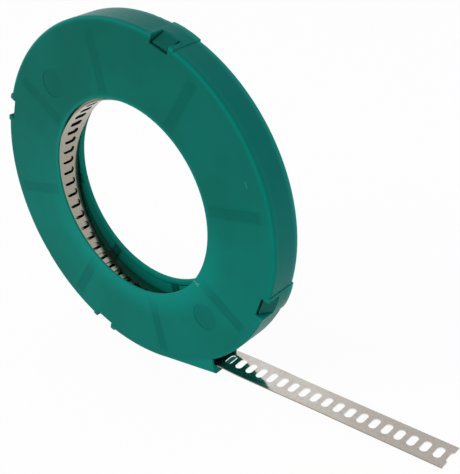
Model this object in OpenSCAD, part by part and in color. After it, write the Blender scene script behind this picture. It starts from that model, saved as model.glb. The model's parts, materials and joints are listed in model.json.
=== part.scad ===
// Perforated steel strap in its dispenser case.
// The strap lies coiled between the two shells of a ring-shaped case, and its free end
// leaves through the nose at the foot.
// The axis of the case is Y, its lid faces -Y, the strap leaves towards +X, and Z is up.

/* [Strap] */
// Width of the strap
strap_w = 17; // [12:0.5:24]
// Thickness of the strap
strap_t = 0.7; // [0.5:0.05:0.9]
// Length of a slot, across the strap
slot_l = 8; // [5.5:0.25:9.5]
// Width of a slot, along the strap
slot_w = 4.2; // [3:0.1:5]
// Distance between the middles of two slots
slot_pitch = 7.2; // [6:0.1:8]
// Whole slots in the free end, which is cut off through the middle of one more
tail_slots = 26; // [18:1:32]
// How far before the middle of that slot the free end is cut off
end_cut = 1; // [0:0.1:1.5]
// Slope of the free end against the foot, in degrees
tail_slope = 7; // [5:0.5:8]

/* [Coil] */
// Inner radius of the coil
coil_r = 66.5; // [63:0.5:69]
// Number of turns in the coil
coil_turns = 20; // [14:1:24]
// How far the coil hangs to the side of the case's axis
coil_side = 3; // [0:0.5:5]
// Depth of the grooves between the turns, on the ends of the coil
groove_depth = 0.4; // [0.2:0.1:0.8]
// Width of the grooves between the turns
groove_w = 0.2; // [0.1:0.05:0.3]
// Depth of the inner turn's slots at the side where the turns behind it hang loose
loose_depth = 6; // [1:0.5:8]
// Angle of that side, in degrees
loose_angle = 130; // [90:5:180]

/* [Case] */
// Outer radius of the case
case_r = 100; // [97:1:110]
// Radius of the hole through the case
hole_r = 57; // [50:0.5:58]
// Thickness of the two side plates
plate_t = 1.2; // [0.9:0.1:2]
// Thickness of the rim wall
rim_t = 1.6; // [1.2:0.1:2.2]
// Radius of the round along the edges of the rim
edge_r = 2; // [1:0.1:2.4]
// Depth of the lid, from its face to the seam
lid_depth = 2.8; // [2.5:0.1:4]
// Height of the lid's ridge below the seam
ridge_h = 2.5; // [1:0.1:4]
// Thickness of the ridge
ridge_t = 1.2; // [0.8:0.1:2]
// Play between the ridge and the rim wall that it locates in
ridge_play = 0.15; // [0.1:0.05:0.4]
// Chamfer round the hole
hole_chamfer = 0.3; // [0.1:0.1:0.6]
// Play between the strap and the ribs on each side
side_play = 0.2; // [0.1:0.05:0.5]
// Radius of the two round marks on the face of the lid
mark_r = 8; // [5:0.5:10]
// Depth of the marks
mark_depth = 0.2; // [0.1:0.05:0.4]
// Distance of the marks from the axis
mark_mid_r = 76; // [70:1:84]
// Angle of the first mark, with the other one opposite, in degrees
mark_angle = 124; // [110:1:140]

/* [Ribs] */
// Number of ribs inside each plate
rib_count = 8; // [4:1:12]
// Angle of the first rib, in degrees
rib_angle = 2; // [-10:1:20]
// Height of a rib
rib_h = 0.3; // [0.2:0.05:0.8]
// Width of a rib
rib_w = 3; // [1.5:0.5:5]
// Clear distance from a rib to the hole and to the rim
rib_end_gap = 5; // [3:0.5:8]

/* [Nose] */
// Reach of the nose from the middle of the case
nose_reach = 42; // [38:1:46]
// How much the foot lies inside the round of the rim
foot_rise = 0.1; // [0.05:0.05:0.3]
// Height of the lip that the strap runs over
lip_h = 5.25; // [3:0.25:6]
// Play under the strap, where it runs over the lip
lip_play = 0.15; // [0.1:0.05:0.3]
// Height of the mouth above the strap
mouth_h = 3.4; // [2.5:0.1:4]

/* [Latches] */
// Angles of the latches round the rim, in degrees
latch_angles = [62, 152, 241.5, 330.5]; // [0:0.5:360]
// Length of a raised pad, along the rim
pad_l = 18; // [15:0.5:22]
// Height of a raised pad above the rim
pad_h = 1; // [0.5:0.1:1.5]
// Radius of a pad's hump, seen along the axis
pad_round = 40; // [30:1:60]
// Length of a latch window, along the rim
window_l = 12; // [9:0.5:14]
// Width of a latch window, back from the face of the lid
window_w = 8.7; // [7:0.1:10]
// Round of the walls at the mouth of a window
mouth_r = 1; // [0.5:0.1:1.4]
// Depth of the lid's notch below the rim
notch_depth = 4.4; // [3:0.1:5]
// Gap on each side of the tongue in its window
tongue_gap = 1.1; // [0.4:0.1:1.4]
// Distance of the tongue's tip behind the face of the lid
tongue_back = 1.1; // [0.6:0.1:2]
// Thickness of the tongue at its root
tongue_t = 1.4; // [1:0.1:1.8]
// Thickness of the tongue at its tip
tongue_tip_t = 0.6; // [0.4:0.1:0.8]
// Depth of the tongue's tip below the rim
tongue_drop = 2.9; // [2:0.1:3]
// How far the lid's catch and the tongue's barb reach behind each other
catch_grip = 0.8; // [0.4:0.1:1]
// Thickness of the lid's catch
catch_t = 1.5; // [1:0.1:2]
// Play between the catch and the tongue
catch_play = 0.2; // [0.1:0.05:0.3]

/* [Hidden] */
$fa = 2;
$fs = 0.4;

// A little extra so that cuts pass through their walls
over = 1;
// How far the pieces of one moulding reach into each other
fuse = 0.5;
// How far the free end sinks into the outer turn where it leaves the coil
lead_sink = 0.1;
// How far the rounds of a pad's edges are drawn outside its hump, so that they cross it
pad_cross = 0.5;
// How far a pad's edges lie behind the faces of the plates
pad_inset = 0.2;

// Width between the plates, and over the whole case
inner_w = strap_w + 2 * (side_play + rib_h);
case_w = inner_w + 2 * plate_t;
inner_r = case_r - rim_t;
seam_z = case_w / 2 - lid_depth;

coil_out_r = coil_r + coil_turns * strap_t;
coil_slots = floor(2 * PI * coil_r / slot_pitch);

// The free end is a straight strip that leaves the coil along a tangent
tail_l = (tail_slots + 0.5) * slot_pitch - end_cut;
tail_under = coil_out_r - lead_sink;
// Slots start where the strip has lifted off the coil by twice its thickness
slot_start = sqrt(pow(coil_out_r + 2 * strap_t, 2) - pow(coil_out_r, 2)) + slot_w;

// The foot, and the top of the nose's end where it meets the round
foot_r = case_r - foot_rise;
nose_top = sqrt(case_r * case_r - nose_reach * nose_reach);

// The coil hangs as low as lets the free end run out over the lip
tail_fall = tail_under / cos(tail_slope) + (nose_reach - coil_side) * tan(tail_slope);
coil_drop = foot_r - lip_h - lip_play - tail_fall;

// Height of the free end's underside at a distance x from the case's axis
function tail_y(x) = -coil_drop - tail_under / cos(tail_slope) - (x - coil_side) * tan(tail_slope);

// Depth of an inner slot at an angle round the coil: one turn where the turns lie tight
function slot_depth(angle) =
    strap_t + (loose_depth - strap_t) * pow((1 + cos(angle - loose_angle)) / 2, 2);

// The case stands on its rim and on the tip of the free end
tip_x = coil_side + tail_l * cos(tail_slope) - tail_under * sin(tail_slope);
tip_z = -coil_drop - tail_l * sin(tail_slope) - tail_under * cos(tail_slope);
stand_lean = -90 - atan2(tip_z, tip_x) + acos(case_r / norm([tip_x, tip_z]));

// Back end of a latch window, and the tongue from its root to its tip
window_z = case_w / 2 - window_w;
tongue_z = case_w / 2 - tongue_back;
tongue_w = window_l - 2 * tongue_gap;
tongue_root_x = case_r + pad_h / 2;
tongue_tip_x = case_r - tongue_drop;

// The catch hangs from the lid inside its notch and grips halfway down the tongue
catch_x = case_r - notch_depth - catch_play;
barb_x = catch_x + 2 * catch_play;
catch_z = (window_z + tongue_z) / 2;
barb_z = catch_z + catch_play;

// Underside of the tongue at a height z
function tongue_under(z) =
    let (root = tongue_root_x - tongue_t, tip = tongue_tip_x - tongue_tip_t)
    root + (tip - root) * (z - window_z) / (tongue_z - window_z);

// Shapes are drawn lying on their back, lid up, and are then stood up
module stand() {
    rotate([90, 0, 0]) rotate([0, 0, stand_lean]) children();
}

// Half section of a ring with rounded outer corners
module rounded_section(inner, outer, width, radius) {
    translate([inner, -width / 2]) square([outer - radius - inner, width]);
    translate([inner, radius - width / 2]) square([outer - inner, width - 2 * radius]);
    for (side = [-1, 1]) {
        translate([outer - radius, side * (width / 2 - radius)]) circle(radius);
    }
}

// Moves its children to the start of the free end, with X along the strap and Y up through it
module along_tail() {
    translate([coil_side, -coil_drop, 0]) rotate([0, 0, -tail_slope]) {
        translate([0, -tail_under, 0]) children();
    }
}

// Repeats its children at each latch, with X pointing out of the rim
module at_latches() {
    for (angle = latch_angles) rotate([0, 0, angle]) children();
}

// One raised pad across the rim: a flat hump with rounded edges
module latch_pad() {
    root_x = case_r - 2 * edge_r;
    top_x = case_r + pad_h;
    intersection() {
        rotate_extrude() rounded_section(root_x, top_x + pad_cross, case_w - 2 * pad_inset, edge_r);
        linear_extrude(2 * case_w, center = true) intersection() {
            translate([top_x - pad_round, 0]) circle(pad_round);
            translate([root_x + fuse, -pad_l / 2]) square([case_r, pad_l]);
        }
    }
}

// Outside of the whole case: a ring with pads round its rim and a nose at its foot
module case_outside() {
    difference() {
        rotate_extrude() rounded_section(hole_r, case_r, case_w, edge_r);
        for (side = [0, 1]) mirror([0, 0, side]) {
            translate([0, 0, case_w / 2 - hole_chamfer]) {
                cylinder(h = 2 * hole_chamfer, r1 = hole_r - hole_chamfer, r2 = hole_r + 3 * hole_chamfer);
            }
        }
    }
    intersection() {
        linear_extrude(case_w, center = true) {
            polygon([[0, -inner_r], [0, -foot_r], [nose_reach, -foot_r], [nose_reach, over - nose_top]]);
        }
        rotate([90, 0, 90]) linear_extrude(2 * nose_reach, center = true) mirror([1, 0]) {
            rounded_section(hole_r, foot_r, case_w, edge_r);
        }
    }
    at_latches() latch_pad();
}

// Outline of the room in the nose, with the way of the free end out through the mouth
module nose_room() {
    nose_in = nose_reach - rim_t;
    room_h = strap_t + mouth_h / 2;
    polygon([
        [0, tail_y(0) + room_h], [0, -foot_r + rim_t],
        [nose_in, -foot_r + rim_t], [nose_in, tail_y(nose_in) + room_h],
    ]);
    along_tail() translate([slot_start, -lip_play]) square([tail_l, lip_play + strap_t + mouth_h]);
}

// Room inside the case, open to the hole and out through the mouth of the nose
module case_inside() {
    linear_extrude(inner_w, center = true) {
        circle(inner_r);
        nose_room();
    }
}

// The part of the hollow case between two heights, without its latch windows
module case_wall(low, high) {
    difference() {
        intersection() {
            case_outside();
            translate([0, 0, low]) cylinder(h = high - low, r = 2 * case_r);
        }
        case_inside();
    }
}

// Cuts the latch windows through the rim and the edge of the lid, with a rounded mouth
module latch_windows() {
    floor_x = case_r - notch_depth;
    mouth_x = tongue_root_x - mouth_r;
    mouth_y = window_l / 2 + mouth_r;
    outer_x = case_r + pad_h + over;
    at_latches() translate([0, 0, window_z]) linear_extrude(window_w + over) {
        translate([floor_x, -window_l / 2]) square([outer_x - floor_x, window_l]);
        difference() {
            translate([mouth_x, -mouth_y]) square([outer_x - mouth_x, 2 * mouth_y]);
            for (side = [-1, 1]) translate([mouth_x, side * mouth_y]) circle(mouth_r);
        }
    }
}

// Ribs that stand on the inner face of a plate, for the plate on the +Z side
module plate_ribs() {
    rib_in = hole_r + rib_end_gap;
    rib_out = inner_r - rib_end_gap;
    for (i = [0 : rib_count - 1]) {
        rotate([0, 0, rib_angle + i * 360 / rib_count]) {
            translate([rib_in, -rib_w / 2, inner_w / 2 - rib_h]) {
                cube([rib_out - rib_in, rib_w, rib_h + fuse]);
            }
        }
    }
}

// A springy tongue that slopes down from the pad into the lid's notch, with a barb underneath
module latch_tongue() {
    barb_end = barb_z + 2 * catch_grip;
    sink = tongue_tip_t / 2;
    rotate([90, 0, 0]) linear_extrude(tongue_w, center = true) {
        polygon([
            [tongue_root_x, window_z - fuse], [tongue_root_x, window_z],
            [tongue_tip_x, tongue_z], [tongue_tip_x - tongue_tip_t, tongue_z],
            [tongue_root_x - tongue_t, window_z], [tongue_root_x - tongue_t, window_z - fuse],
        ]);
        polygon([
            [barb_x, barb_z], [tongue_under(barb_z) + sink, barb_z],
            [tongue_under(barb_end) + sink, barb_end],
        ]);
    }
}

// The lid's catch: a tab under the plate, with a lip that hooks behind the tongue's barb
module lid_catch() {
    catch_end = catch_z - 2 * catch_grip;
    root_z = inner_w / 2 + fuse;
    rotate([90, 0, 0]) linear_extrude(tongue_w, center = true) polygon([
        [catch_x - catch_t, root_z], [catch_x, root_z], [catch_x, catch_z],
        [barb_x + catch_grip, catch_z], [catch_x, catch_end], [catch_x - catch_t, catch_end],
    ]);
}

// The lid's ridge, which locates inside the rim wall and stops short of the nose
module lid_ridge() {
    ridge_r = inner_r - ridge_play;
    difference() {
        rotate_extrude() {
            translate([ridge_r - ridge_t, seam_z - ridge_h]) square([ridge_t, ridge_h + fuse]);
            translate([ridge_r - ridge_t, seam_z]) {
                square([ridge_t + ridge_play + fuse, inner_w / 2 + fuse - seam_z]);
            }
        }
        linear_extrude(case_w) nose_room();
    }
}

// Two shallow round marks on the face of the lid
module lid_marks() {
    for (side = [0, 180]) rotate([0, 0, mark_angle + side]) {
        translate([mark_mid_r, 0, case_w / 2 - mark_depth]) cylinder(h = over, r = mark_r);
    }
}

// Cutter for one slot: a stadium along X and Z, cutting through Y
module slot_cut(depth) {
    straight = slot_l - slot_w;
    rotate([90, 0, 0]) linear_extrude(depth, center = true) {
        square([slot_w, straight], center = true);
        for (side = [-1, 1]) translate([0, side * straight / 2]) circle(d = slot_w);
    }
}

// Outline of the strap seen along the case's axis: the ring of the coil and the straight free end
module strap_outline() {
    translate([coil_side, -coil_drop]) difference() {
        circle(coil_out_r);
        circle(coil_r);
    }
    along_tail() square([tail_l, strap_t]);
}

// Grooves between each turn and the next, on the end of the coil on the +Z side
module turn_grooves() {
    flare = groove_w / 2 * (1 + over / groove_depth);
    rotate_extrude() for (i = [1 : coil_turns - 1]) {
        translate([coil_r + i * strap_t, strap_w / 2 - groove_depth]) {
            polygon([[0, 0], [flare, groove_depth + over], [-flare, groove_depth + over]]);
        }
    }
}

module case_back() {
    color("seagreen") stand() {
        difference() {
            case_wall(-case_w, seam_z);
            latch_windows();
        }
        at_latches() latch_tongue();
        mirror([0, 0, 1]) plate_ribs();
    }
}

module case_front() {
    color("mediumseagreen") stand() {
        difference() {
            union() {
                case_wall(seam_z, case_w);
                lid_ridge();
            }
            latch_windows();
            lid_marks();
        }
        plate_ribs();
        at_latches() lid_catch();
    }
}

module perforated_strap() {
    color("silver") stand() difference() {
        linear_extrude(strap_w, center = true) strap_outline();
        translate([coil_side, -coil_drop, 0]) {
            for (side = [0, 1]) mirror([0, 0, side]) turn_grooves();
            for (i = [0 : coil_slots - 1]) {
                angle = i * 360 / coil_slots;
                rotate([0, 0, angle - 90]) translate([0, coil_r, 0]) slot_cut(2 * slot_depth(angle));
            }
        }
        along_tail() for (i = [0 : tail_slots]) {
            x = (i + 0.5) * slot_pitch;
            if (x > slot_start) translate([x, strap_t / 2, 0]) slot_cut(2 * strap_t);
        }
    }
}

case_back();
case_front();
perforated_strap();
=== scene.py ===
"""Looks of a perforated steel strap in its ring-shaped dispenser case.

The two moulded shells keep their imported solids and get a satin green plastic, and a low
collar is added round the hole of the tub. The strap is wound anew as one slotted band: its
coil hangs inside the case, with inner turns that lie loose and off-centre, and its free end
runs out straight over the lip of the nose.
"""

import json
import logging
import math
from dataclasses import dataclass
from enum import Enum
from typing import Optional, Union

import bmesh
import bpy
import numpy as np
from mathutils import Matrix, Vector


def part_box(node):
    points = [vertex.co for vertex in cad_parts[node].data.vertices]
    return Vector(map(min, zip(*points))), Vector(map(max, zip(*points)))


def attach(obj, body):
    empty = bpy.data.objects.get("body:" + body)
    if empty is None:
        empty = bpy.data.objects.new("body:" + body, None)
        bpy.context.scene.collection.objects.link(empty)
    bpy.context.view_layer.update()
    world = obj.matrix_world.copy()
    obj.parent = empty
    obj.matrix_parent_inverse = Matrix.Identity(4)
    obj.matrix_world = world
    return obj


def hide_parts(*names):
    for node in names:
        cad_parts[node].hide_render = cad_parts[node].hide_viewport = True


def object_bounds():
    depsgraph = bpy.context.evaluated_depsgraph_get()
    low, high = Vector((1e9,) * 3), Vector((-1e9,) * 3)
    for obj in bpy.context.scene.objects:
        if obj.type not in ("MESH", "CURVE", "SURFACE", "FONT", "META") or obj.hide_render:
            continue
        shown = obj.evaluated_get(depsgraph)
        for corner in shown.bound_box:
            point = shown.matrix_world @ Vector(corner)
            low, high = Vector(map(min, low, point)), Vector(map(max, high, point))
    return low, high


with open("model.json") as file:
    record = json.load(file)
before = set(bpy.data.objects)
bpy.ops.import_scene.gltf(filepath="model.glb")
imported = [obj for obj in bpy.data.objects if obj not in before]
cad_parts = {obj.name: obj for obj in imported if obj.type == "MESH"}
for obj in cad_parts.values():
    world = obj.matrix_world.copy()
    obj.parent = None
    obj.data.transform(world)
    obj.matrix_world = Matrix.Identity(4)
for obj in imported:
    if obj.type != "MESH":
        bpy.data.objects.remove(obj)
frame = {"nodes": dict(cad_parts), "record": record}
cad_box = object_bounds()

MM = 0.001
BODY = "root"
FLAT_ATTRIBUTE = "strap_flat"
WALL_ATTRIBUTE = "strap_wall"
SHARP_ANGLE = math.radians(35)
WHITE = (1.0, 1.0, 1.0)

Triple = tuple[float, float, float]
Colour = Triple
Span = tuple[float, float]
Socket = bpy.types.NodeSocket
Feed = Union[Socket, float, Colour]

log = logging.getLogger("strap_case")


def tint(red: int, green: int, blue: int) -> Colour:
    """Turn a colour in screen values into the linear values that shaders use.

    Args:
        red: Red from 0 to 255.
        green: Green from 0 to 255.
        blue: Blue from 0 to 255.

    Returns:
        The linear colour.
    """
    def linear(value: int) -> float:
        """Undo the screen's curve for one channel."""
        share = value / 255
        return share / 12.92 if share <= 0.04045 else ((share + 0.055) / 1.055) ** 2.4

    return linear(red), linear(green), linear(blue)


def add_object(name: str, data: bpy.types.ID) -> bpy.types.Object:
    """Make an object and put it into the scene.

    Args:
        name: Its name.
        data: Its mesh, camera or light.

    Returns:
        The object.
    """
    made = bpy.data.objects.new(name, data)
    bpy.context.scene.collection.objects.link(made)
    return made


def shade_smooth(mesh: bpy.types.Mesh) -> None:
    """Shade a mesh smoothly between its sharp edges.

    Args:
        mesh: The mesh, which is changed.
    """
    mesh.polygons.foreach_set("use_smooth", [True] * len(mesh.polygons))
    mesh.set_sharp_from_angle(angle=SHARP_ANGLE)


class Step(Enum):
    """The sums that the materials are made of."""

    ADD = "ADD"
    SUBTRACT = "SUBTRACT"
    MULTIPLY = "MULTIPLY"
    DIVIDE = "DIVIDE"
    MAXIMUM = "MAXIMUM"
    MINIMUM = "MINIMUM"
    ABSOLUTE = "ABSOLUTE"
    FRACTION = "FRACT"
    ANGLE = "ARCTAN2"


class Wall(Enum):
    """The kinds of faces on the strap, as its finish tells them apart."""

    FLAT = 0.0
    SLOT = 0.5
    LONG_EDGE = 1.0


class ShaderGraph:
    """Adds and joins the nodes of one material or node group."""

    def __init__(self, tree: bpy.types.NodeTree) -> None:
        """Work on an empty node tree."""
        self.tree = tree

    @classmethod
    def of_material(cls, name: str) -> tuple["ShaderGraph", bpy.types.Material]:
        """Start a new material.

        Args:
            name: Name of the material.

        Returns:
            Its empty graph, and the material.
        """
        material = bpy.data.materials.new(name)
        material.use_nodes = True
        material.node_tree.nodes.clear()
        return cls(material.node_tree), material

    def feed(self, socket: Socket, value: Feed) -> None:
        """Link a socket to another one, or set its own value.

        Args:
            socket: The input to fill.
            value: An output to link, a number or a colour.
        """
        if isinstance(value, Socket):
            self.tree.links.new(value, socket)
        elif isinstance(value, tuple) and socket.type == "RGBA":
            socket.default_value = (*value, 1.0)
        else:
            socket.default_value = value

    def node(self, kind: str, inputs: Optional[dict] = None, **settings) -> bpy.types.Node:
        """Add one node.

        Args:
            kind: Blender's name of the node type.
            inputs: What goes into its sockets, by name or number.
            settings: Values of the node's own properties.

        Returns:
            The new node.
        """
        made = self.tree.nodes.new(kind)
        for name, value in settings.items():
            setattr(made, name, value)
        for name, value in (inputs or {}).items():
            self.feed(made.inputs[name], value)
        return made

    def show(self, surface: Socket, output: str = "ShaderNodeOutputMaterial") -> None:
        """Lead a finished shader to the output.

        Args:
            surface: The shader.
            output: Blender's name of the output's node type.
        """
        end = self.node(output)
        self.feed(end.inputs["Surface"], surface)

    def sum(self, step: Step, first: Feed, second: Feed = 0.0) -> Socket:
        """Work out one sum of two values.

        Args:
            step: The sum.
            first: Its first value.
            second: Its second value, where it has one.

        Returns:
            The result.
        """
        return self.node("ShaderNodeMath", {0: first, 1: second}, operation=step.value).outputs[0]

    def chain(self, step: Step, first: Feed, *others: Feed) -> Socket:
        """Work out the same sum over several values, one after the other.

        Args:
            step: The sum.
            first: The first value.
            others: The values that follow.

        Returns:
            The result.
        """
        result = first
        for other in others:
            result = self.sum(step, result, other)
        return result

    def ramp(self, value: Feed, low: Feed, high: Feed, start: float = 0.0, end: float = 1.0) -> Socket:
        """Lead a value smoothly from one level to another.

        Args:
            value: The value to follow.
            low: Where the ramp starts.
            high: Where the ramp ends.
            start: Level before the ramp.
            end: Level after the ramp.

        Returns:
            The level.
        """
        made = self.node("ShaderNodeMapRange", {0: value, 1: low, 2: high, 3: start, 4: end},
                         interpolation_type="SMOOTHSTEP")
        return made.outputs[0]

    def blend(self, share: Feed, first: Feed, second: Feed) -> Socket:
        """Blend two colours.

        Args:
            share: Share of the second colour.
            first: Colour at a share of 0.
            second: Colour at a share of 1.

        Returns:
            The blended colour.
        """
        made = self.node("ShaderNodeMix", data_type="RGBA")
        for name, value in (("Factor_Float", share), ("A_Color", first), ("B_Color", second)):
            socket = next(s for s in made.inputs if s.identifier == name)
            self.feed(socket, value)
        return next(s for s in made.outputs if s.identifier == "Result_Color")

    def group(self, tree: bpy.types.NodeTree, inputs: dict) -> bpy.types.Node:
        """Place a shared group with its own values.

        Args:
            tree: The group.
            inputs: What goes into its sockets, by name.

        Returns:
            The group's node.
        """
        return self.node("ShaderNodeGroup", inputs, node_tree=tree)


@dataclass(frozen=True)
class RingPlace:
    """A place round the case's axis: radius and distance across in mm, angle in radians."""

    radius: Socket
    angle: Socket
    across: Socket


class SharedEffects:
    """The node groups that more than one finish uses."""

    PATCH_DETAIL = 3.0
    PATCH_RANGE: Span = (0.35, 0.68)
    GRAIN_DETAIL = 2.0

    def __init__(self) -> None:
        """Build each group once."""
        self._ring_group = self._make_ring_place()
        self._band_group = self._make_soft_band()
        self._mottle_group = self._make_mottle()

    def ring_place(self, graph: ShaderGraph, place: Socket) -> RingPlace:
        """Tell where a place lies round the case's axis.

        Args:
            graph: Graph of the material.
            place: Object coordinates.

        Returns:
            The place round the axis.
        """
        made = graph.group(self._ring_group, {"Place": place})
        return RingPlace(made.outputs["Radius"], made.outputs["Angle"], made.outputs["Across"])

    def soft_band(self, graph: ShaderGraph, value: Feed, middle: float, half: float, blur: float) -> Socket:
        """Mark a band with soft edges.

        Args:
            graph: Graph of the material.
            value: The value to follow.
            middle: Middle of the band.
            half: Half its width.
            blur: Width of its soft edges.

        Returns:
            The mask, which is 1 in the band.
        """
        inputs = {"Value": value, "Middle": middle, "Half": half, "Blur": blur}
        return graph.group(self._band_group, inputs).outputs["Mask"]

    def mottle(self, graph: ShaderGraph, place: Socket, patches: float,
               grains: float) -> tuple[Socket, Socket]:
        """Make a material uneven.

        Args:
            graph: Graph of the material.
            place: Coordinates to follow.
            patches: Scale of the soft patches.
            grains: Scale of the fine grain.

        Returns:
            Patches and grain, both from 0 to 1.
        """
        made = graph.group(self._mottle_group, {"Place": place, "Patches": patches, "Grains": grains})
        return made.outputs["Patch"], made.outputs["Grain"]

    @staticmethod
    def _start(name: str, inputs: dict, outputs: tuple) -> tuple[ShaderGraph, dict, dict]:
        """Make an empty group with its sockets.

        Args:
            name: Name of the group.
            inputs: Socket type of each input, by name.
            outputs: Names of the outputs, which are numbers.

        Returns:
            The group's graph, its input sockets and its output sockets, by name.
        """
        tree = bpy.data.node_groups.new(name, "ShaderNodeTree")
        for label, kind in inputs.items():
            tree.interface.new_socket(label, in_out="INPUT", socket_type=kind)
        for label in outputs:
            tree.interface.new_socket(label, in_out="OUTPUT", socket_type="NodeSocketFloat")
        graph = ShaderGraph(tree)
        entry = graph.node("NodeGroupInput")
        end = graph.node("NodeGroupOutput")
        return graph, {n: entry.outputs[n] for n in inputs}, {n: end.inputs[n] for n in outputs}

    def _make_ring_place(self) -> bpy.types.NodeTree:
        """Build the group for a place round the case's axis.

        Returns:
            The group.
        """
        outputs = ("Radius", "Angle", "Across")
        graph, into, out = self._start("ring_place", {"Place": "NodeSocketVector"}, outputs)
        x, y, z = graph.node("ShaderNodeSeparateXYZ", {0: into["Place"]}).outputs
        flat = graph.node("ShaderNodeCombineXYZ", {0: x, 2: z})
        length = graph.node("ShaderNodeVectorMath", {0: flat.outputs[0]}, operation="LENGTH")
        graph.feed(out["Radius"], graph.sum(Step.DIVIDE, length.outputs["Value"], MM))
        graph.feed(out["Angle"], graph.sum(Step.ANGLE, z, x))
        graph.feed(out["Across"], graph.sum(Step.DIVIDE, y, MM))
        return graph.tree

    def _make_soft_band(self) -> bpy.types.NodeTree:
        """Build the group for a band with soft edges round a middle value.

        Returns:
            The group.
        """
        sockets = {name: "NodeSocketFloat" for name in ("Value", "Middle", "Half", "Blur")}
        graph, into, out = self._start("soft_band", sockets, ("Mask",))
        away = graph.sum(Step.ABSOLUTE, graph.sum(Step.SUBTRACT, into["Value"], into["Middle"]))
        end = graph.sum(Step.ADD, into["Half"], into["Blur"])
        graph.feed(out["Mask"], graph.ramp(away, into["Half"], end, 1.0, 0.0))
        return graph.tree

    def _make_mottle(self) -> bpy.types.NodeTree:
        """Build the group for uneven material.

        Returns:
            The group.
        """
        sockets = {"Place": "NodeSocketVector", "Patches": "NodeSocketFloat", "Grains": "NodeSocketFloat"}
        graph, into, out = self._start("mottle", sockets, ("Patch", "Grain"))
        patch = graph.node("ShaderNodeTexNoise", {
            "Vector": into["Place"], "Scale": into["Patches"], "Detail": self.PATCH_DETAIL,
        })
        grain = graph.node("ShaderNodeTexNoise", {
            "Vector": into["Place"], "Scale": into["Grains"], "Detail": self.GRAIN_DETAIL,
        })
        graph.feed(out["Patch"], graph.ramp(patch.outputs[0], *self.PATCH_RANGE))
        graph.feed(out["Grain"], grain.outputs[0])
        return graph.tree


@dataclass(frozen=True)
class RibShadows:
    """Faint double lines where ribs stand behind a plate, in mm and degrees."""

    count: int = 8
    angle: float = 5.6
    edge: float = 2.2
    line_half: float = 0.05
    line_blur: float = 1.8
    fill: float = 0.8
    fill_edge: Span = (-0.4, 1.4)
    mid_r: float = 77.0
    half_length: float = 15.0
    end_blur: float = 4.0
    strength: float = 0.44

    def mask(self, graph: ShaderGraph, shared: SharedEffects, ring: RingPlace) -> Socket:
        """Mark the lines.

        Args:
            graph: Graph of the material.
            shared: The node groups.
            ring: Place round the axis.

        Returns:
            The mask.
        """
        step = 2 * math.pi / self.count
        start = math.radians(self.angle) - 2 * math.pi - step / 2
        turned = graph.sum(Step.SUBTRACT, ring.angle, start)
        share = graph.sum(Step.FRACTION, graph.sum(Step.DIVIDE, turned, step))
        offset = graph.sum(Step.MULTIPLY, graph.sum(Step.SUBTRACT, share, 0.5), step)
        side = graph.sum(Step.ABSOLUTE, graph.sum(Step.MULTIPLY, offset, ring.radius))
        line = shared.soft_band(graph, side, self.edge, self.line_half, self.line_blur)
        low, high = (self.edge + shift for shift in self.fill_edge)
        fill = graph.ramp(side, low, high, self.fill, 0.0)
        reach = shared.soft_band(graph, ring.radius, self.mid_r, self.half_length, self.end_blur)
        return graph.chain(Step.MULTIPLY, graph.sum(Step.MAXIMUM, line, fill), reach, self.strength)


@dataclass(frozen=True)
class EdgeGlow:
    """Painted glow and highlights on the rounded rim, the front and back edges, the hole's edge and a broad
    area under the hole, standing in for light that comes through thin plastic, in mm.
    """

    rim_r: Span = (93.0, 95.0)
    round_range: Span = (0.04, 0.22)
    round_level: float = 0.6
    front_r: Span = (97.0, 100.0)
    front_across: Span = (-9.7, -4.2)
    front_level: float = 0.45
    back_across: Span = (5.1, 8.16)
    hole_r: float = 57.0
    hole_half: float = 0.3
    hole_blur: float = 2.4
    hole_level: float = 0.5
    glow_r: Span = (57.0, 74.1)
    glow_level: float = 0.7
    glow_height: Span = (-50.0, 20.0)

    def mask(self, graph: ShaderGraph, shared: SharedEffects, ring: RingPlace,
             normal: Socket, height: Socket) -> Socket:
        """Mark where glow and highlights are painted.

        Args:
            graph: Graph of the material.
            shared: The node groups.
            ring: Place round the axis.
            normal: Direction of the surface, which leans both ways on a rounded edge.
            height: Height in the object in metres, as the glow is broad under the hole.

        Returns:
            The mask.
        """
        lean = graph.node("ShaderNodeSeparateXYZ", {0: normal}).outputs["Y"]
        flat = graph.sum(Step.MULTIPLY, lean, lean)
        both = graph.sum(Step.MULTIPLY, flat, graph.sum(Step.SUBTRACT, 1.0, flat))
        rim = graph.ramp(ring.radius, *self.rim_r)
        rounded = graph.chain(Step.MULTIPLY, graph.ramp(both, *self.round_range), self.round_level, rim)
        front = graph.ramp(ring.across, *self.front_across, self.front_level, 0.0)
        front = graph.sum(Step.MULTIPLY, front, graph.ramp(ring.radius, *self.front_r))
        back = graph.sum(Step.MULTIPLY, graph.ramp(ring.across, *self.back_across), rim)
        hole = shared.soft_band(graph, ring.radius, self.hole_r, self.hole_half, self.hole_blur)
        hole = graph.sum(Step.MULTIPLY, hole, self.hole_level)
        wide = graph.ramp(ring.radius, *self.glow_r, self.glow_level, 0.0)
        bottom, top = (level * MM for level in self.glow_height)
        glow = graph.sum(Step.MULTIPLY, wide, graph.ramp(height, bottom, top, 1.0, 0.0))
        return graph.chain(Step.MAXIMUM, rounded, front, back, hole, glow)


@dataclass(frozen=True)
class BackLight:
    """Light from behind on the inner face of the back plate, in mm."""

    across: float = 8.6
    half: float = 0.6
    blur: float = 0.1
    rim_r: Span = (93.0, 94.0)

    def mask(self, graph: ShaderGraph, shared: SharedEffects, ring: RingPlace) -> Socket:
        """Mark the inner face.

        Args:
            graph: Graph of the material.
            shared: The node groups.
            ring: Place round the axis.

        Returns:
            The mask.
        """
        inside = shared.soft_band(graph, ring.across, self.across, self.half, self.blur)
        return graph.sum(Step.MULTIPLY, inside, graph.ramp(ring.radius, *self.rim_r, 1.0, 0.0))


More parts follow.
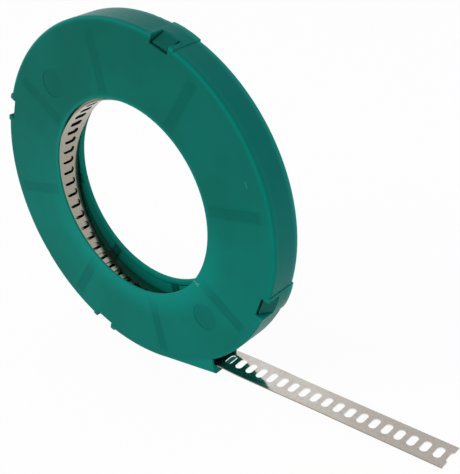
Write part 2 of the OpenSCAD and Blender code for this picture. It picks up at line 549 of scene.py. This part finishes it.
@dataclass(frozen=True)
class CollarShade:
    """Painted shade in a line where the collar round the hole meets the back plate, in mm."""

    radius: float = 60.5
    half: float = 0.4
    blur: float = 0.3
    across: Span = (9.1, 9.2)

    def mask(self, graph: ShaderGraph, shared: SharedEffects, ring: RingPlace) -> Socket:
        """Mark the painted shade.

        Args:
            graph: Graph of the material.
            shared: The node groups.
            ring: Place round the axis.

        Returns:
            The mask.
        """
        line = shared.soft_band(graph, ring.radius, self.radius, self.half, self.blur)
        return graph.sum(Step.MULTIPLY, line, graph.ramp(ring.across, *self.across, 1.0, 0.0))


@dataclass(frozen=True)
class LatchShade:
    """Painted shade on the sunken tongues and in the notches that they snap into, in mm and degrees."""

    angles: tuple[float, ...] = (65.6, 155.6, -114.9, -25.9)
    side: Span = (5.6, 5.9)
    front_across: Span = (-2.4, -1.4)
    face_across: Span = (-10.15, -10.05)
    rim_r: Span = (94.0, 94.5)
    level: float = 0.85

    def mask(self, graph: ShaderGraph, ring: RingPlace) -> Socket:
        """Mark where the shade is painted.

        Args:
            graph: Graph of the material.
            ring: Place round the axis.

        Returns:
            The mask.
        """
        turns = []
        for angle in self.angles:
            away = graph.sum(Step.SUBTRACT, ring.angle, math.radians(angle))
            turns.append(graph.sum(Step.ABSOLUTE, away))
        side = graph.sum(Step.MULTIPLY, graph.chain(Step.MINIMUM, *turns), ring.radius)
        within = graph.ramp(side, *self.side, 1.0, 0.0)
        front = graph.ramp(ring.across, *self.front_across, 1.0, 0.0)
        behind = graph.ramp(ring.across, *self.face_across)
        out = graph.ramp(ring.radius, *self.rim_r)
        return graph.chain(Step.MULTIPLY, within, front, behind, out, self.level)


@dataclass(frozen=True)
class LidMarkShade:
    """Painted shade in two shallow round marks on the face of the lid, in mm and degrees."""

    radius: float = 8.0
    soft_edge: Span = (-0.9, 0.3)
    mid_r: float = 76.0
    angles: Span = (127.6, 307.6)
    face: float = -10.2
    level: float = 0.24

    def mask(self, graph: ShaderGraph, place: Socket) -> Socket:
        """Mark the painted shade in both discs.

        Args:
            graph: Graph of the material.
            place: Object coordinates.

        Returns:
            The mask.
        """
        low, high = ((self.radius + shift) * MM for shift in self.soft_edge)
        masks = []
        for angle in (math.radians(degrees) for degrees in self.angles):
            middle = Vector((math.cos(angle) * self.mid_r, self.face, math.sin(angle) * self.mid_r)) * MM
            away = graph.node("ShaderNodeVectorMath", {0: place, 1: tuple(middle)}, operation="DISTANCE")
            masks.append(graph.ramp(away.outputs["Value"], low, high, self.level, 0.0))
        return graph.chain(Step.MAXIMUM, *masks)


@dataclass(frozen=True)
class LidScars:
    """Marks of use on the lid: a forked crack at the hole and a scuff near the rim, in mm and degrees.

    Each arm of the crack has its slope against the radius, its inner and outer radius and half its width.
    """

    crack_angle: float = -42.6
    fork_r: float = 59.2
    arms: tuple[tuple[float, float, float, float], ...] = (
        (0.1, 57.0, 59.2, 0.12), (0.9, 59.2, 60.8, 0.1), (-0.3, 59.2, 61.0, 0.1),
    )
    arm_blur: float = 0.25
    arm_end_blur: float = 0.4
    scuff_angle: float = 16.3
    scuff_r: float = 90.0
    scuff_half_length: float = 1.2
    scuff_end_blur: float = 0.8
    scuff_half_width: float = 0.1
    scuff_blur: float = 0.4
    scuff_level: float = 0.3
    face_across: Span = (-9.9, -9.6)
    level: float = 0.8

    def mask(self, graph: ShaderGraph, shared: SharedEffects, ring: RingPlace) -> Socket:
        """Mark the crack and the scuff.

        Args:
            graph: Graph of the material.
            shared: The node groups.
            ring: Place round the axis.

        Returns:
            The mask.
        """
        crack_side = self._side(graph, ring, self.crack_angle)
        along = graph.sum(Step.SUBTRACT, ring.radius, self.fork_r)
        masks = []
        for slope, low, high, half in self.arms:
            bent = graph.sum(Step.SUBTRACT, crack_side, graph.sum(Step.MULTIPLY, along, slope))
            line = shared.soft_band(graph, bent, 0.0, half, self.arm_blur)
            middle = (low + high) / 2
            reach = shared.soft_band(graph, ring.radius, middle, high - middle, self.arm_end_blur)
            masks.append(graph.sum(Step.MULTIPLY, line, reach))
        scuff_side = self._side(graph, ring, self.scuff_angle)
        length = shared.soft_band(graph, scuff_side, 0.0, self.scuff_half_length, self.scuff_end_blur)
        width = shared.soft_band(graph, ring.radius, self.scuff_r, self.scuff_half_width, self.scuff_blur)
        masks.append(graph.chain(Step.MULTIPLY, length, width, self.scuff_level))
        face = graph.ramp(ring.across, *self.face_across, self.level, 0.0)
        return graph.sum(Step.MULTIPLY, graph.chain(Step.MAXIMUM, *masks), face)

    @staticmethod
    def _side(graph: ShaderGraph, ring: RingPlace, angle: float) -> Socket:
        """Work out the distance to the side of a line from the axis.

        Args:
            graph: Graph of the material.
            ring: Place round the axis.
            angle: Angle of the line in degrees.

        Returns:
            The distance in mm.
        """
        turned = graph.sum(Step.SUBTRACT, ring.angle, math.radians(angle))
        return graph.sum(Step.MULTIPLY, turned, ring.radius)


@dataclass(frozen=True)
class PlasticFinish:
    """Satin green plastic, a little translucent, with painted glow along its thin edges and painted shade in
    its recesses, behind its ribs and towards its top.
    """

    name: str
    lid: bool
    body: Colour = tint(13, 115, 104)
    # Colour of the painted shade towards the top and of the cloudy random patches
    mottle_and_top_shade: Colour = tint(14, 92, 80)
    # Colour of the painted glow and highlights on thin edges
    edge: Colour = tint(8, 139, 126)
    lit: Colour = tint(6, 142, 126)
    shadow: Colour = tint(4, 84, 76)
    # Colour of painted shade: sunken tongues and notches, inner ribs and the foot of the collar
    recess_shade: Colour = tint(4, 90, 80)
    scar: Colour = tint(95, 178, 164)
    roughness: float = 0.36
    rough_spread: Span = (-0.04, 0.05)
    specular: float = 0.05
    patch_scale: float = 24.0
    patch_level: float = 0.3
    top_shade_height: Span = (-60.0 * MM, 90.0 * MM)
    top_shade_level: float = 0.6
    grain_scale: float = 900.0
    grain_range: Span = (0.3, 0.7)
    grain_depth: float = 0.2 * MM
    grain_strength: float = 0.05
    inner_rib_shade_gain: float = 2.5
    ribs: RibShadows = RibShadows()
    edges: EdgeGlow = EdgeGlow()
    back_light: BackLight = BackLight()
    collar: CollarShade = CollarShade()
    latch_shade: LatchShade = LatchShade()
    marks: LidMarkShade = LidMarkShade()
    scars: LidScars = LidScars()

    def build(self, shared: SharedEffects) -> bpy.types.Material:
        """Make the material.

        Args:
            shared: The node groups.

        Returns:
            The plastic.
        """
        graph, material = ShaderGraph.of_material(self.name)
        coordinates = graph.node("ShaderNodeTexCoord")
        place = coordinates.outputs["Object"]
        height = graph.node("ShaderNodeSeparateXYZ", {0: place}).outputs["Z"]
        ring = shared.ring_place(graph, place)
        patch, grain = shared.mottle(graph, place, self.patch_scale, self.grain_scale)
        # Painted shade: the plastic is darker towards the top, mixed with soft random patches of cloudy tone
        top_shade = graph.ramp(height, *self.top_shade_height, 0.0, self.top_shade_level)
        cloud = graph.sum(Step.ADD, top_shade, graph.sum(Step.MULTIPLY, patch, self.patch_level))
        colour = graph.blend(cloud, self.body, self.mottle_and_top_shade)
        ribs = self.ribs.mask(graph, shared, ring)
        colour = graph.blend(ribs, colour, self.shadow)
        # Painted glow and highlights along thin edges and under the hole
        thin = self.edges.mask(graph, shared, ring, coordinates.outputs["Normal"], height)
        colour = graph.blend(thin, colour, self.edge)
        # Painted shade on the sunken tongues and in their notches
        colour = graph.blend(self.latch_shade.mask(graph, ring), colour, self.recess_shade)
        if self.lid:
            # Painted shade in the two shallow discs
            colour = graph.blend(self.marks.mask(graph, place), colour, self.shadow)
            colour = graph.blend(self.scars.mask(graph, shared, ring), colour, self.scar)
        else:
            inside = self.back_light.mask(graph, shared, ring)
            colour = graph.blend(inside, colour, self.lit)
            # Painted shade along the ribs within the painted light on the inner face
            inner_rib_shade = graph.chain(Step.MULTIPLY, ribs, inside, self.inner_rib_shade_gain)
            colour = graph.blend(inner_rib_shade, colour, self.recess_shade)
            # Painted shade at the foot of the collar
            colour = graph.blend(self.collar.mask(graph, shared, ring), colour, self.recess_shade)
        smooth, dull = (self.roughness + shift for shift in self.rough_spread)
        bump = graph.node("ShaderNodeBump", {
            "Height": grain, "Strength": self.grain_strength, "Distance": self.grain_depth,
        })
        shader = graph.node("ShaderNodeBsdfPrincipled", {
            "Base Color": colour, "Roughness": graph.ramp(grain, *self.grain_range, smooth, dull),
            "Normal": bump.outputs[0], "Specular IOR Level": self.specular,
        })
        graph.show(shader.outputs[0])
        return material


@dataclass(frozen=True)
class SteelFinish:
    """Bright rolled steel with faint streaks along the strap, in metres along and across it."""

    name: str
    bright: Colour = tint(207, 203, 198)
    warm: Colour = tint(196, 190, 183)
    # Darker, warmer colour of the coiled part of the strap
    coil_darker: Colour = tint(160, 154, 141)
    worn: Colour = tint(176, 170, 163)
    sheared: Colour = tint(150, 138, 124)
    grime: Colour = tint(120, 104, 92)
    shaded: Colour = tint(52, 50, 44)
    # Painted highlight on the slot walls of the free end
    wall_highlight: Colour = tint(224, 221, 216)
    roughness: float = 0.09
    rough_spread: Span = (-0.03, 0.05)
    coil_roughness: float = 0.16
    coil_end: Span = (-0.02, 0.02)
    worn_from: Span = (0.08, 0.17)
    streak_squeeze: Triple = (0.08, 1.0, 1.0)
    streak_scale: float = 700.0
    streak_grain: float = 4000.0
    streak_depth: float = 0.1 * MM
    streak_strength: float = 0.06
    cloud_scale: float = 60.0
    cloud_grain: float = 1500.0
    speck_range: Span = (0.5, 0.72)
    speck_level: float = 0.35
    slot_from: Span = (0.2, 0.3)
    long_edge_from: Span = (0.7, 0.8)
    dent_scale: float = 110.0
    dent_detail: float = 1.0
    dent_depth: float = 0.4 * MM
    dent_strength: float = 0.12

    def build(self, shared: SharedEffects) -> bpy.types.Material:
        """Make the material.

        Args:
            shared: The node groups.

        Returns:
            The steel.
        """
        graph, material = ShaderGraph.of_material(self.name)
        flat = graph.node("ShaderNodeAttribute", attribute_name=FLAT_ATTRIBUTE).outputs["Vector"]
        wall = graph.node("ShaderNodeAttribute", attribute_name=WALL_ATTRIBUTE).outputs["Fac"]
        along = graph.node("ShaderNodeSeparateXYZ", {0: flat}).outputs["X"]
        squeezed = graph.node("ShaderNodeMapping", {"Vector": flat, "Scale": self.streak_squeeze})
        streak, fine = shared.mottle(graph, squeezed.outputs[0], self.streak_scale, self.streak_grain)
        cloud, grain = shared.mottle(graph, flat, self.cloud_scale, self.cloud_grain)
        coiled = graph.ramp(along, *self.coil_end, 1.0, 0.0)
        colour = graph.blend(cloud, self.bright, self.warm)
        colour = graph.blend(graph.ramp(along, *self.worn_from), colour, self.worn)
        # The coiled part of the strap is coloured darker and warmer
        colour = graph.blend(coiled, colour, self.coil_darker)
        speck = graph.ramp(grain, *self.speck_range, 0.0, self.speck_level)
        colour = graph.blend(speck, colour, self.grime)
        # Painted highlight on the slot walls of the free end, and painted shade on those in the coil
        slot_wall_shading = graph.blend(coiled, self.wall_highlight, self.shaded)
        colour = graph.blend(graph.ramp(wall, *self.slot_from), colour, slot_wall_shading)
        colour = graph.blend(graph.ramp(wall, *self.long_edge_from), colour, self.sheared)
        smooth, dull = (self.roughness + shift for shift in self.rough_spread)
        rough = graph.ramp(streak, 0.0, 1.0, smooth, dull)
        rough = graph.sum(Step.MAXIMUM, rough, graph.sum(Step.MULTIPLY, coiled, self.coil_roughness))
        dents = graph.node("ShaderNodeTexNoise", {
            "Vector": flat, "Scale": self.dent_scale, "Detail": self.dent_detail,
        })
        wavy = graph.node("ShaderNodeBump", {
            "Height": dents.outputs[0], "Strength": self.dent_strength, "Distance": self.dent_depth,
        })
        rolled = graph.node("ShaderNodeBump", {
            "Height": fine, "Strength": self.streak_strength, "Distance": self.streak_depth,
            "Normal": wavy.outputs[0],
        })
        shader = graph.node("ShaderNodeBsdfPrincipled", {
            "Base Color": colour, "Roughness": rough, "Normal": rolled.outputs[0], "Metallic": 1.0,
        })
        graph.show(shader.outputs[0])
        return material


@dataclass
class CaseShells:
    """The two moulded shells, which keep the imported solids."""

    lid_node: str = "case_front"
    tub_node: str = "case_back"

    def dress(self, lid: bpy.types.Material, tub: bpy.types.Material) -> None:
        """Give both shells their plastic.

        Args:
            lid: Plastic of the lid, with its marks of use.
            tub: Plastic of the tub.
        """
        for name, material in ((self.lid_node, lid), (self.tub_node, tub)):
            shell = frame["nodes"][name]
            for slot in shell.material_slots:
                slot.material = material
            log.info("%s: %d faces, %s", name, len(shell.data.polygons), material.name)


@dataclass
class HoleCollar:
    """The low collar round the hole, on the inner face of the back plate."""

    name: str = "hole_collar"
    in_r: float = 57.4 * MM
    out_r: float = 60.2 * MM
    foot: float = 9.1 * MM
    top: float = 8.3 * MM
    soft_edge: float = 0.25 * MM
    soft_steps: int = 3
    steps: int = 160
    weld: float = 0.001 * MM

    def build(self, plastic: bpy.types.Material) -> bpy.types.Object:
        """Make the collar as a turned ring.

        Args:
            plastic: Plastic of the tub.

        Returns:
            The collar.
        """
        ring = bmesh.new()
        corners = (
            (self.in_r, self.foot), (self.out_r, self.foot), (self.out_r, self.top), (self.in_r, self.top),
        )
        ring.faces.new([ring.verts.new((radius, across, 0)) for radius, across in corners])
        bmesh.ops.bevel(
            ring, geom=[v for v in ring.verts if v.co.y < self.foot - self.soft_edge], offset=self.soft_edge,
            segments=self.soft_steps, profile=0.5, affect="VERTICES", material=-1,
        )
        bmesh.ops.spin(
            ring, geom=list(ring.verts) + list(ring.edges), cent=(0, 0, 0), axis=(0, 1, 0), dvec=(0, 0, 0),
            angle=2 * math.pi, steps=self.steps, use_merge=True,
        )
        # The section that was spun still lies inside the ring, and it alone isn't a quad
        inside = [face for face in ring.faces if len(face.verts) > 4]
        bmesh.ops.delete(ring, geom=inside, context="FACES_ONLY")
        bmesh.ops.remove_doubles(ring, verts=list(ring.verts), dist=self.weld)
        bmesh.ops.recalc_face_normals(ring, faces=list(ring.faces))
        mesh = bpy.data.meshes.new(self.name)
        ring.to_mesh(mesh)
        ring.free()
        shade_smooth(mesh)
        mesh.materials.append(plastic)
        collar = add_object(self.name, mesh)
        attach(collar, BODY)
        log.info("%s: %d faces", self.name, len(mesh.polygons))
        return collar


@dataclass
class WoundStrap:
    """The slotted strap, rolled up from a flat band.

    Each sway of the inner turns has its waves to a turn, its reach and the angle of a crest in degrees.
    """

    name: str = "wound_strap"
    node: str = "perforated_strap"
    end_slots: tuple[str, str] = ("slot_01_from_end", "slot_12_from_end")
    width: float = 17.0 * MM
    thickness: float = 0.66 * MM
    slot_l: float = 8.0 * MM
    slot_w: float = 4.2 * MM
    slot_sides: int = 16
    pitch: float = 7.2 * MM
    weld: float = 0.01 * MM
    flat_normal: float = 0.5
    long_edge_share: float = 0.49
    tail_slots: int = 26
    end_cut: float = 1.0 * MM
    crown: float = 0.1 * MM
    crown_share: float = 0.25
    lean: float = 4.0
    lean_start: Span = (46.0 * MM, 66.0 * MM)
    lean_end: Span = (66.0 * MM, 116.0 * MM)
    coil_in: float = 62.46 * MM
    coil_out: float = 80.5 * MM
    turns: float = 20.8
    turn_steps: int = 360
    turn_pitch: float = 0.7 * MM
    inner_gap: float = 0.2 * MM
    inner_gap_turns: Span = (0.8, 1.3)
    inner_sway: tuple[tuple[int, float, float], ...] = ((1, 3.2 * MM, 118.6), (2, 1.38 * MM, 24.6))
    apart_turns: Span = (1.8, 2.6)
    loose_angle: float = 134.0
    loose_gap: float = 4.0 * MM
    loose_power: int = 4

    def build(self, steel: bpy.types.Material) -> bpy.types.Object:
        """Make the strap and put it in place of its plain solid.

        Args:
            steel: Its finish.

        Returns:
            The strap.
        """
        strap = add_object(self.name, self._flat_band())
        self._wind(strap.data)
        strap.data.materials.append(steel)
        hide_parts(self.node)
        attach(strap, BODY)
        length = self.tail_l + self._coil_length()
        log.info("%s: %d faces, %.2f m long", self.name, len(strap.data.polygons), length)
        return strap

    @property
    def tail_l(self) -> float:
        """Length of the straight free end."""
        return (self.tail_slots + 0.5) * self.pitch - self.end_cut

    def _slotted_cell(self) -> bmesh.types.BMesh:
        """Make one flat pitch of the strap, open round its slot.

        Returns:
            The cell, with X along the strap, from 0 to one pitch.
        """
        cell = bmesh.new()
        half_step = math.pi / self.slot_sides
        ring = bmesh.ops.create_circle(
            cell, segments=self.slot_sides, radius=self.slot_w / 2 / math.cos(half_step),
            matrix=Matrix.Rotation(half_step, 4, "Z"),
        )["verts"]
        straight = (self.slot_l - self.slot_w) / 2
        for side in (-1, 1):
            ends = [v for v in ring if v.co.y * side > 0]
            bmesh.ops.translate(cell, verts=ends, vec=(0, side * straight, 0))
        slot_edges = list(cell.edges)
        corners = 4
        outline = bmesh.ops.create_circle(
            cell, segments=corners, radius=1.0, matrix=Matrix.Rotation(math.pi / corners, 4, "Z"),
        )["verts"]
        bmesh.ops.scale(cell, vec=(self.pitch / math.sqrt(2), self.width / math.sqrt(2), 1), verts=outline)
        frame_edges = [e for e in cell.edges if e not in slot_edges]
        bmesh.ops.subdivide_edges(cell, edges=frame_edges, cuts=self.slot_sides // corners - 1)
        bmesh.ops.bridge_loops(cell, edges=list(cell.edges))
        bmesh.ops.translate(cell, verts=list(cell.verts), vec=(self.pitch / 2, 0, 0))
        return cell

    def _flat_band(self) -> bpy.types.Mesh:
        """Make the whole strap flat, with its thickness and its cut end.

        Returns:
            The band's mesh, with X at 0 where the free end leaves the coil.
        """
        coil_length = self._coil_length()
        cells = math.ceil(coil_length / self.pitch)
        mesh = bpy.data.meshes.new(self.name)
        cell = self._slotted_cell()
        bmesh.ops.translate(cell, verts=list(cell.verts), vec=(-cells * self.pitch, 0, 0))
        cell.to_mesh(mesh)
        cell.free()
        helper = add_object("band_helper", mesh)
        row = helper.modifiers.new("row", "ARRAY")
        row.count = cells + self.tail_slots + 1
        row.use_relative_offset = False
        row.use_constant_offset = True
        row.constant_offset_displace = (self.pitch, 0, 0)
        row.use_merge_vertices = True
        row.merge_threshold = self.weld
        whole = bmesh.new()
        whole.from_object(helper, bpy.context.evaluated_depsgraph_get())
        bpy.data.objects.remove(helper)
        for end, side in ((self.tail_l, 1), (-coil_length, -1)):
            bmesh.ops.bisect_plane(
                whole, geom=list(whole.verts) + list(whole.edges) + list(whole.faces),
                plane_co=(end, 0, 0), plane_no=(side, 0, 0), clear_outer=True,
            )
        bmesh.ops.recalc_face_normals(whole, faces=list(whole.faces))
        bmesh.ops.solidify(whole, geom=list(whole.faces), thickness=self.thickness)
        middle = sum(v.co.z for v in whole.verts) / len(whole.verts)
        bmesh.ops.translate(whole, verts=list(whole.verts), vec=(0, 0, -middle))
        bmesh.ops.recalc_face_normals(whole, faces=list(whole.faces))
        whole.to_mesh(mesh)
        whole.free()
        return mesh

    @staticmethod
    def _ease(value: np.ndarray, low: float, high: float) -> np.ndarray:
        """Lead a share smoothly from 0 to 1.

        Args:
            value: The values to follow.
            low: Where the share leaves 0.
            high: Where it reaches 1.

        Returns:
            The smooth share.
        """
        share = np.clip((value - low) / (high - low), 0.0, 1.0)
        return share * share * (3 - 2 * share)

    def _spiral(self) -> tuple[np.ndarray, np.ndarray, np.ndarray]:
        """Work out the middle line of the coil, from its inner end to the free end.

        Returns:
            Angle in radians, counted back from the free end, radius, and length to the free end.
        """
        turn = np.linspace(0.0, self.turns, int(self.turns * self.turn_steps))
        angle = (turn - self.turns) * 2 * math.pi
        round_case = angle + self.exit_angle
        inner = self.coil_in + self.thickness / 2 + self.turn_pitch * turn
        inner += self.inner_gap * self._ease(turn, *self.inner_gap_turns)
        for waves, reach, crest in self.inner_sway:
            inner += reach * np.cos(waves * (round_case - math.radians(crest)))
        outer = self.coil_out - self.thickness / 2 - self.turn_pitch * (self.turns - turn)
        loose = ((1 + np.cos(round_case - math.radians(self.loose_angle))) / 2) ** self.loose_power
        outer += self.loose_gap * (loose - loose[-1])
        radius = inner + (outer - inner) * self._ease(turn, *self.apart_turns)
        steps = np.hypot(np.diff(radius), radius[:-1] * np.diff(angle))
        length = np.concatenate([[0.0], np.cumsum(steps)])
        return angle, radius, length - length[-1]

    def _coil_length(self) -> float:
        """Length of strap in the coil."""
        return -float(self._spiral()[2][0])

    @property
    def tail_direction(self) -> Vector:
        """Direction of the free end, from the record's slots."""
        mounts = {m["name"]: Vector(m["pos_m"]) for m in frame["record"]["mounts"]}
        outer, inner = (mounts[name] for name in self.end_slots)
        return (outer - inner).normalized()

    @property
    def exit_angle(self) -> float:
        """Angle round the coil where the free end leaves it, in radians."""
        along = self.tail_direction
        return math.atan2(along.z, along.x) - math.pi / 2

    @property
    def coil_centre(self) -> Vector:
        """Middle of the coil, from the box of its solid."""
        low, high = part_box(self.node)
        return Vector((low.x + self.coil_out, 0, high.z - self.coil_out))

    def _wall(self, face: bpy.types.MeshPolygon) -> Wall:
        """Tell the flat faces, the walls of the slots and the sheared long edges apart.

        Args:
            face: A face of the flat band.

        Returns:
            The kind of face.
        """
        if abs(face.normal.z) > self.flat_normal:
            return Wall.FLAT
        return Wall.LONG_EDGE if abs(face.center.y) > self.long_edge_share * self.width else Wall.SLOT

    def _wind(self, mesh: bpy.types.Mesh) -> None:
        """Roll the flat band up, and keep its flat coordinates for the finish.

        Args:
            mesh: The flat band, which is changed.
        """
        flat = np.empty(len(mesh.vertices) * 3, np.float32)
        mesh.vertices.foreach_get("co", flat)
        kept = mesh.attributes.new(FLAT_ATTRIBUTE, "FLOAT_VECTOR", "POINT")
        kept.data.foreach_set("vector", flat)
        walls = mesh.attributes.new(WALL_ATTRIBUTE, "FLOAT", "FACE")
        walls.data.foreach_set("value", [self._wall(face).value for face in mesh.polygons])
        along, across, up = flat.reshape(-1, 3).astype(float).T
        lifted = np.clip(along / (self.crown_share * self.tail_l), 0, 1)
        up = up + self.crown * lifted * (1 - (2 * across / self.width) ** 2)
        leaning = self._ease(along, *self.lean_start) - self._ease(along, *self.lean_end)
        up = up + across * math.tan(math.radians(self.lean)) * leaning
        angle, radius, length = self._spiral()
        turned = np.interp(along, length, angle) + self.exit_angle
        reach = np.interp(along, length, radius) - up
        free = np.maximum(along, 0.0)
        x = self.coil_centre.x + reach * np.cos(turned) + free * self.tail_direction.x
        z = self.coil_centre.z + reach * np.sin(turned) + free * self.tail_direction.z
        placed = np.stack([x, across, z], axis=1).astype(np.float32)
        mesh.vertices.foreach_set("co", placed.ravel())
        shade_smooth(mesh)
        mesh.update()


@dataclass
class Viewpoint:
    """Where the camera stands, as the photograph was taken, in mm and degrees."""

    looks_at: Triple = (40.30, 23.62, -28.07)
    azimuth: float = 43.286
    elevation: float = 25.887
    roll: float = 6.749
    distance: float = 518.84
    lens: float = 71.1536
    sensor: float = 36.0
    nearest: float = 10.0

    def place(self) -> bpy.types.Object:
        """Make the scene's camera.

        Returns:
            The camera.
        """
        data = bpy.data.cameras.new("camera")
        data.sensor_width = self.sensor
        data.lens = self.lens
        data.clip_start = self.nearest * MM
        camera = add_object("camera", data)
        turn, lift = math.radians(self.azimuth), math.radians(self.elevation)
        back = Vector((math.sin(turn) * math.cos(lift), -math.cos(turn) * math.cos(lift), math.sin(lift)))
        facing = (-back).to_track_quat("-Z", "Y").to_matrix().to_4x4()
        rolled = facing @ Matrix.Rotation(-math.radians(self.roll), 4, "Z")
        place = (Vector(self.looks_at) + back * self.distance) * MM
        camera.matrix_world = Matrix.Translation(place) @ rolled
        bpy.context.scene.camera = camera
        return camera


@dataclass(frozen=True)
class Lamp:
    """One large soft lamp, hung at a place in metres, with the side of its square and its watts."""

    name: str
    place: Triple
    size: float
    power: float

    def hang(self) -> None:
        """Make the lamp, which points at the case and doesn't show in reflections."""
        data = bpy.data.lights.new(self.name, "AREA")
        data.size = self.size
        data.energy = self.power
        lamp = add_object(self.name, data)
        lamp.location = self.place
        lamp.visible_glossy = False
        lamp.rotation_euler = (-Vector(self.place)).to_track_quat("-Z", "Y").to_euler()


@dataclass
class Studio:
    """A pale floor under soft light from the sky and two large lamps."""

    floor_z: float
    floor_size: float = 12.0
    floor_tone: float = 0.97
    glow: float = 0.95
    sky_light: float = 0.6
    lamps: tuple[Lamp, ...] = (
        Lamp("key_lamp", (-1.0, -1.3, 0.8), 1.2, 13.0),
        Lamp("fill_lamp", (0.9, -1.4, 0.9), 1.2, 3.0),
    )

    def build(self) -> None:
        """Make the floor, the sky and the lamps."""
        self._floor()
        self._sky()
        for lamp in self.lamps:
            lamp.hang()
        bpy.context.scene.view_settings.view_transform = "Standard"

    @staticmethod
    def _seen(graph: ShaderGraph) -> Socket:
        """Tell the rays of the eye and of reflections from those that only light.

        Args:
            graph: Graph of the material or the sky.

        Returns:
            1 for a ray that shows the surface, and 0 for one that only lights.
        """
        rays = graph.node("ShaderNodeLightPath").outputs
        kinds = ("Is Camera Ray", "Is Glossy Ray", "Is Transmission Ray")
        return graph.chain(Step.MAXIMUM, *(rays[kind] for kind in kinds))

    def _floor(self) -> None:
        """Make the floor, which shows nearly white and keeps the shadow."""
        mesh = bpy.data.meshes.new("floor")
        grid = bmesh.new()
        bmesh.ops.create_grid(grid, x_segments=1, y_segments=1, size=self.floor_size / 2,
                              matrix=Matrix.Translation((0, 0, self.floor_z)))
        grid.to_mesh(mesh)
        grid.free()
        floor = add_object("floor", mesh)
        graph, material = ShaderGraph.of_material("pale_floor")
        matt = graph.node("ShaderNodeBsdfDiffuse", {"Color": (self.floor_tone,) * 3})
        shine = graph.node("ShaderNodeEmission", {"Color": WHITE, "Strength": 1.0})
        share = graph.sum(Step.MULTIPLY, self._seen(graph), self.glow)
        both = graph.node("ShaderNodeMixShader", {0: share, 1: matt.outputs[0], 2: shine.outputs[0]})
        graph.show(both.outputs[0])
        mesh.materials.append(material)

    def _sky(self) -> None:
        """Make the sky white to the eye and in reflections, and softer as a light."""
        world = bpy.data.worlds.new("studio_sky")
        bpy.context.scene.world = world
        world.use_nodes = True
        world.node_tree.nodes.clear()
        graph = ShaderGraph(world.node_tree)
        strength = graph.ramp(self._seen(graph), 0.0, 1.0, self.sky_light, 1.0)
        sky = graph.node("ShaderNodeBackground", {"Color": WHITE, "Strength": strength})
        graph.show(sky.outputs[0], "ShaderNodeOutputWorld")


def main() -> None:
    """Build the pieces in order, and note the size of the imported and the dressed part."""
    logging.basicConfig(level=logging.INFO, format="%(name)s: %(message)s")
    shared = SharedEffects()
    lid_finish = PlasticFinish("lid_plastic", lid=True, specular=0.02)
    tub_finish = PlasticFinish("tub_plastic", lid=False, body=tint(0, 118, 110), mottle_and_top_shade=tint(5, 108, 101))
    lid = lid_finish.build(shared)
    tub = tub_finish.build(shared)
    CaseShells().dress(lid, tub)
    HoleCollar().build(tub)
    WoundStrap().build(SteelFinish("rolled_steel").build(shared))
    Studio(floor_z=cad_box[0].z).build()
    Viewpoint().place()


if __name__ == "__main__":
    main()
